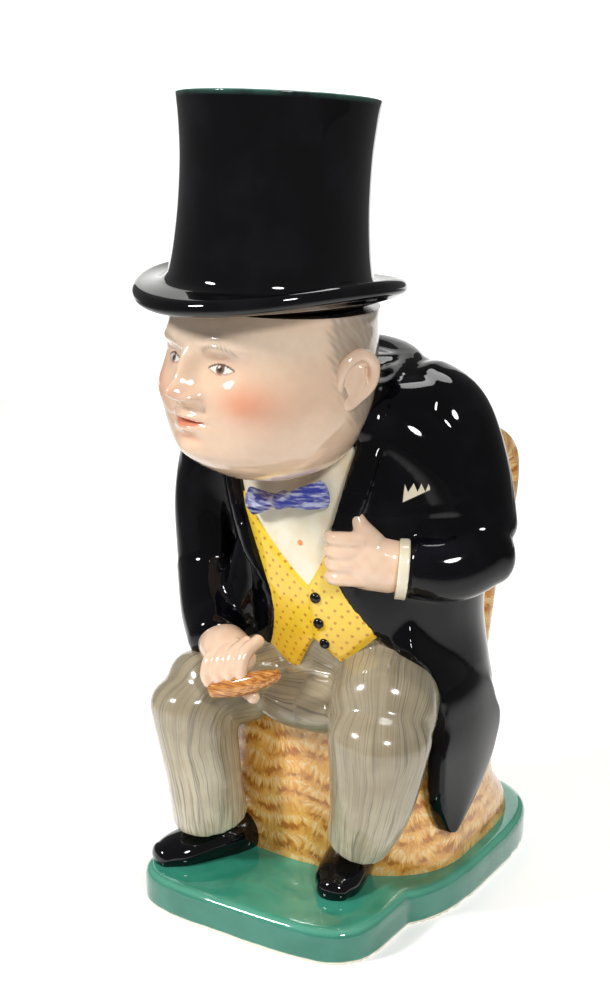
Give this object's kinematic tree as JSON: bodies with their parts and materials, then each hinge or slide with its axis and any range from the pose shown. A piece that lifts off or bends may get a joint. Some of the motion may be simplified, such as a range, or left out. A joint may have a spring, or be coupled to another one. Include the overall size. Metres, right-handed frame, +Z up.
{
  "type": "character jug",
  "caption": "Glazed pottery jug in the shape of a seated stout gentleman in a tailcoat, with a loop handle behind and a top hat as its lift-off cover.",
  "frame": {"origin": "middle of the base's underside, halfway along its length", "axes": "+Z up, the figure faces -Y, +X towards the figure's left hand"},
  "size_m": [0.0831, 0.1191, 0.1808],
  "materials": {
    "glazed_body": "high gloss, painted under the glaze",
    "glazed_black": "high gloss black"
  },
  "bodies": {
    "root": {"jug": "glazed_body", "hat_cover": "glazed_black"}
  },
  "joints": []
}
